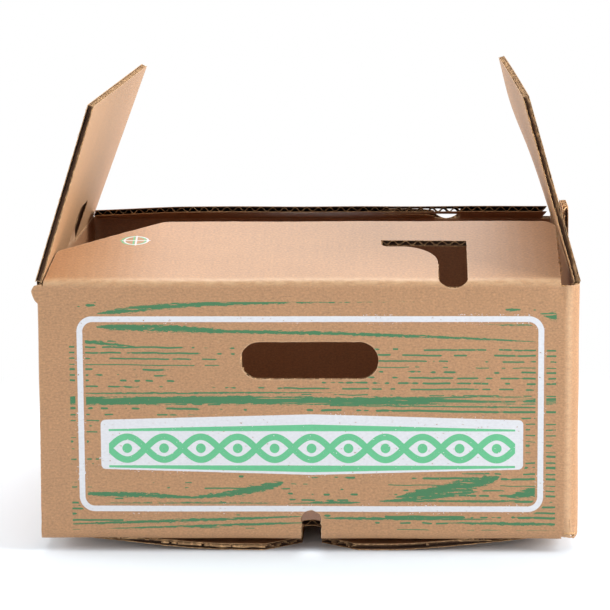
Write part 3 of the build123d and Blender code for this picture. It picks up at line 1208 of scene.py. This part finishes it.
# The body's blank
def end_panel_outlines(across, end):
    """Outline of an end panel with both flaps, and the holes in it, by its X to across map."""
    bottom = panel_lines[0 if end == FRONT else 2].marks[0]
    flap_line = end_mark(end, fold_radius)
    slant = raw_edge_slant if end == FRONT else 0
    ring = ring_top_z - 2 * MM
    free_edge = rim_z + end_flap_length
    panel = placed(
        across,
        (end_panel_left[end] - slant, flap_line),
        (inner_bottom_left, flap_line),
        (inner_bottom_left, bottom),
        (end_panel_right, bottom),
        (end_panel_right, ring),
        (end_flap_right[end], ring),
        (end_flap_right[end], free_edge),
        (heel_x, free_edge),
        (shoulder[0], rim_z + shoulder[1]),
        (end_flap_left, rim_z),
        (end_flap_left, ring),
        (end_panel_left[end], ring),
    )
    radii = (0, 0, 0, 0, 0, 0, end_flap_corner[end], 15 * MM, 9 * MM, 0, 0, 0)
    hole = stadium(
        (across(hand_hole["x"]), hand_hole["z"]),
        hand_hole["length"] / 2,
        hand_hole["height"] / 2,
    )
    notch_low = end_mark(end, notch_along_flap)
    notch = stadium(
        (across(notch_x), (notch_top_z + notch_low) / 2),
        (notch_top_z - notch_low) / 2,
        notch_half_width,
        upright=True,
    )
    leg_radius = (vent_leg[1] - vent_leg[0]) / 2 * round_end
    low_arm, high_arm = (rim_z + mark for mark in vent_arm)
    vent = placed(
        across,
        (vent_leg[0], rim_z + vent_foot),
        (vent_leg[1], rim_z + vent_foot),
        (vent_leg[1], high_arm),
        (vent_arm_left, high_arm),
        (vent_arm_left, low_arm),
        (vent_leg[0], low_arm),
    )
    vent = rounded(vent, (leg_radius, leg_radius, 0, 0, 4 * MM, vent_throat_radius))
    return rounded(panel, radii), [hole, notch, vent]


def placed(across, *points):
    """Points of the blank, from their X or Y and their marks."""
    return [(across(value), mark) for value, mark in points]


def bottom_flap_outline(across, side):
    """Outer bottom flap of a side wall, by its Y to across map."""
    free, _, score, _ = panel_lines[1 if side == RIGHT else 3].marks
    half = (
        (outer_bottom_edge - free_corner_cut[1], free),
        (outer_bottom_edge, free + free_corner_cut[0]),
        (outer_bottom_edge, score - score_corner_cut[0]),
        (outer_bottom_edge - score_corner_cut[1], score),
        (outer_bottom_edge - score_corner_cut[1], ring_foot_z),
    )
    return placed(across, *((-y, mark) for y, mark in half[::-1]), *half)


def tab_outline(across, half, low, high):
    """Stacking tab, or the hole that it leaves in its flap."""
    corners = rectangle((across(tab_y - half), low), (across(tab_y + half), high))
    return rounded(corners, (0, 0, tab_corner, tab_corner))


def corner_foot(corner, panel_edge):
    """Folded corner below the ring, from an end panel's edge to just round the corner."""
    past = math.copysign(corner_foot_reach, corner - panel_edge)
    low, high = sorted((panel_edge - math.copysign(MM, past), corner + past))
    return rectangle((low, corner_foot_z), (high, ring_foot_z + MM))


front_panel, front_holes = end_panel_outlines(front_across, FRONT)
rear_panel, rear_holes = end_panel_outlines(rear_across, REAR)
glue_end = plan.marks[-1]
glue_start = corner_marks[3] - 2 * fold_radius
glue_tab = [
    (glue_start, ring_foot_z),
    (corner_marks[3] - fold_radius, ring_foot_z),
    (corner_marks[3] + fold_radius, foot_z + glue_tab_inset),
    (glue_end - glue_tab_inset, foot_z + glue_tab_inset),
    (glue_end, foot_z + 2 * glue_tab_inset),
    (glue_end, rim_z - 2 * glue_tab_inset),
    (glue_end - glue_tab_inset, rim_z - glue_tab_inset),
    (corner_marks[3] + fold_radius, rim_z - glue_tab_inset),
    (corner_marks[3] - fold_radius, ring_top_z),
    (glue_start, ring_top_z),
]
# The lip that stands out at the raw edge's top, crushed from the corner
corner_lip = rounded(
    [
        (2 * MM, 163 * MM),
        (2 * MM, 177.5 * MM),
        (-2.4 * MM, 177 * MM),
        (-4.8 * MM, 172.8 * MM),
        (-4.4 * MM, 169.5 * MM),
        (-1.6 * MM, 165.5 * MM),
    ],
    (0, 0, 1.2 * MM, 1.5 * MM, 1.2 * MM, 1.5 * MM),
)
body_blank = Blank(
    place_on_body,
    [
        corner_lip,
        rectangle((0, ring_foot_z), (glue_start + MM, ring_top_z)),
        corner_foot(corner_marks[0], front_across(end_panel_right)),
        corner_foot(corner_marks[1], rear_across(end_panel_right)),
        corner_foot(corner_marks[2], rear_across(end_panel_left[REAR])),
        front_panel,
        rear_panel,
        glue_tab,
        bottom_flap_outline(right_across, RIGHT),
        bottom_flap_outline(left_across, LEFT),
        tab_outline(right_across, tab_half_width, ring_top_z - MM, rim_z + tab_height),
        tab_outline(left_across, tab_half_width, ring_top_z - MM, rim_z + tab_height),
    ],
    front_holes + rear_holes + [
        stadium(middle, radius * 1.4, radius) for middle, radius in torn_holes
    ],
    torn=torn_body,
    fold_rows=[
        (start, end, mark)
        for (start, end), line in zip(
            zip([0] + list(corner_marks[:3]), corner_marks), panel_lines
        )
        for mark in line.fold_marks(wall_fold_steps)
        if mark < rim_z + 2 * fold_radius
    ],
    fold_columns=[
        (ring_foot_z - 4 * MM, ring_top_z, mark) for mark in plan.fold_marks(corner_fold_steps)
    ],
)


def body_outer_finish(middles):
    """The print is on the front panel's outer face alone."""
    on_front = middles[:, 0] < corner_marks[0] - 10 * MM
    on_wall = (middles[:, 1] > foot_z) & (middles[:, 1] < rim_z + end_flap_length)
    return [3 if here else OUTER for here in on_front & on_wall]


body_liners = liners(
    "box_liners", body_blank, [plain, interior_shaded, cut_edge, printed], body_outer_finish
)
body_medium = fluting("box_fluting", body_blank, medium)
slot_x, middle_x = front_across(end_flap_right[FRONT]), front_across(notch_x)
corner_x = corner_marks[0]
body_fibres = torn_fibres(
    "box_torn_fibres",
    place_on_body,
    [
        ((slot_x, rim_z + 4 * MM), (slot_x, rim_z + 66 * MM), 46, liner),
        ((slot_x, rim_z - 2 * MM), (slot_x + 9 * MM, rim_z - 3 * MM), 16, liner),
        ((corner_x + 4 * MM, corner_foot_z), (corner_x - 10 * MM, corner_foot_z), 26, liner),
        ((corner_x - 8 * MM, 13 * MM), (corner_x + 2 * MM, 13 * MM), 12, 0),
        ((middle_x - 6 * MM, 27 * MM), (middle_x + 6 * MM, 27 * MM), 10, board),
    ],
    [torn_paper],
    seed=5,
)
for piece in (body_liners, body_medium, body_fibres):
    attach(piece, "body")
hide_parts("box_body")


# Side flaps
crease = ring_top_z - rim_z
front_edge_wander = {LEFT: 0.7 * MM, RIGHT: 1.3 * MM}
fibre_counts = {LEFT: (60, 40), RIGHT: (240, 60)}
for side, word in ((LEFT, "left"), (RIGHT, "right")):
    def across(y, side=side):
        return side * y

    flap = rectangle((-side_flap_end, 0.3 * MM), (side_flap_end, flap_length[side]))
    strip_ends = sorted((across(-half_depth + 10 * MM), across(half_depth - fold_radius)))
    strip = rectangle((strip_ends[0], crease), (strip_ends[1], MM))
    hole = tab_outline(across, tab_half_width + tab_gap, crease - MM, tab_height + tab_gap)
    if side == LEFT:
        hole = hole[::-1]
    flap_blank = Blank(
        place_on_flap(side),
        [flap, strip],
        [hole],
        fold_rows=[(-side_flap_end, side_flap_end, mark * MM) for mark in (-1.2, -0.4, 0.4, 1.2)],
        torn=[((across(-side_flap_end), 60 * MM), 68 * MM, front_edge_wander[side])],
    )
    flap_liners = liners(f"{word}_flap_liners", flap_blank, [plain, inside_face, cut_edge])
    flap_medium = fluting(f"{word}_flap_fluting", flap_blank, medium)
    front_edge = across(-side_flap_end)
    ends = [(front_edge, 6 * MM), (front_edge, flap_length[side] - 4 * MM)]
    if side == RIGHT:
        ends = ends[::-1]
    counts = fibre_counts[side]
    flap_fibres = torn_fibres(
        f"{word}_flap_torn_fibres",
        place_on_flap(side),
        [(*ends, counts[0], board - liner / 2), (*ends, counts[1], liner / 2)],
        [torn_paper],
        seed=7 + side,
    )
    for piece in (flap_liners, flap_medium, flap_fibres):
        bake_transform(piece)
    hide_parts(f"{word}_flap")


# Studio: a pale floor that runs out to white, soft lamps, and the camera
floor_size = 24
floor_fade = (0.14, 0.5)


def seen_directly(tree):
    """1 to the camera and in reflections, and 0 to the light that falls on things."""
    rays = tree.nodes.new("ShaderNodeLightPath").outputs
    return larger(Term(tree, rays["Is Camera Ray"]), Term(tree, rays["Is Glossy Ray"]))


def mix_shaders(tree, share, first, second, output):
    """Plugs a mix of two shader nodes into the named output."""
    first, second = (Term(tree, shader.outputs[0]) for shader in (first, second))
    mix = add_node(tree, "MixShader", {"Fac": share, 1: first, 2: second})
    tree.links.new(mix.outputs[0], tree.nodes[output].inputs["Surface"])


def add_floor():
    bpy.ops.mesh.primitive_plane_add(size=floor_size, location=(0, 0, 0))
    floor = bpy.context.object
    floor.name = "floor"
    material = bpy.data.materials.new("pale_floor")
    material.use_nodes = True
    tree = material.node_tree
    surface = tree.nodes["Principled BSDF"]
    surface.inputs["Base Color"].default_value = srgb(238, 245, 252)
    surface.inputs["Roughness"].default_value = 0.9
    surface.inputs["Specular IOR Level"].default_value = 0.1
    place = Term(tree, tree.nodes.new("ShaderNodeTexCoord").outputs["Object"])
    length = add_node(tree, "VectorMath", {0: place}, operation="LENGTH")
    share = seen_directly(tree) * Term(tree, length.outputs["Value"]).above(*floor_fade)
    glow = tree.nodes.new("ShaderNodeEmission")
    mix_shaders(tree, share, surface, glow, "Material Output")
    floor.data.materials.append(material)


def add_world():
    world = bpy.data.worlds.new("studio")
    bpy.context.scene.world = world
    world.use_nodes = True
    ambient = world.node_tree.nodes["Background"]
    ambient.inputs["Color"].default_value = (0.97, 0.985, 1, 1)
    ambient.inputs["Strength"].default_value = 0.6
    white = world.node_tree.nodes.new("ShaderNodeBackground")
    mix_shaders(
        world.node_tree, seen_directly(world.node_tree), ambient, white, "World Output"
    )


def add_lamp(name, place, target, size, power, colour=(1, 1, 1)):
    data = bpy.data.lights.new(name, "AREA")
    data.size = size
    data.energy = power
    data.color = colour
    lamp = bpy.data.objects.new(name, data)
    lamp.location = place
    lamp.rotation_euler = (Vector(target) - Vector(place)).to_track_quat("-Z", "Y").to_euler()
    bpy.context.scene.collection.objects.link(lamp)


def add_camera():
    """The photograph's view, found by fitting the box's corners."""
    yaw, pitch, roll = math.radians(2.06), math.radians(9.83), math.radians(-0.38)
    ahead = Vector((
        -math.sin(yaw) * math.cos(pitch),
        math.cos(yaw) * math.cos(pitch),
        -math.sin(pitch),
    ))
    level = ahead.cross(Vector((0, 0, 1))).normalized()
    upright = level.cross(ahead)
    right = level * math.cos(roll) + upright * math.sin(roll)
    up = upright * math.cos(roll) - level * math.sin(roll)
    data = bpy.data.cameras.new("camera")
    data.sensor_width = 36
    data.lens = 169.33
    camera = bpy.data.objects.new("camera", data)
    camera.matrix_world = Matrix.Translation((0.0639, -1.9732, 0.4780)) @ Matrix(
        (right, up, -ahead)
    ).transposed().to_4x4()
    bpy.context.scene.collection.objects.link(camera)
    bpy.context.scene.camera = camera


add_floor()
add_world()
add_lamp("right_key", (1.9, -0.5, 1.15), (0, 0, 0.15), 1.3, 56)
add_lamp("rear_softbox", (0.1, 1.1, 1.75), (0, 0, 0.15), 1.7, 32)
add_lamp("left_fill", (-1.7, 0.4, 0.8), (0, 0, 0.15), 1.2, 16)
add_lamp("front_fill", (-0.5, -2.6, 1.0), (0, 0, 0.1), 1.6, 3)
add_camera()

bpy.context.scene.view_settings.view_transform = "Standard"
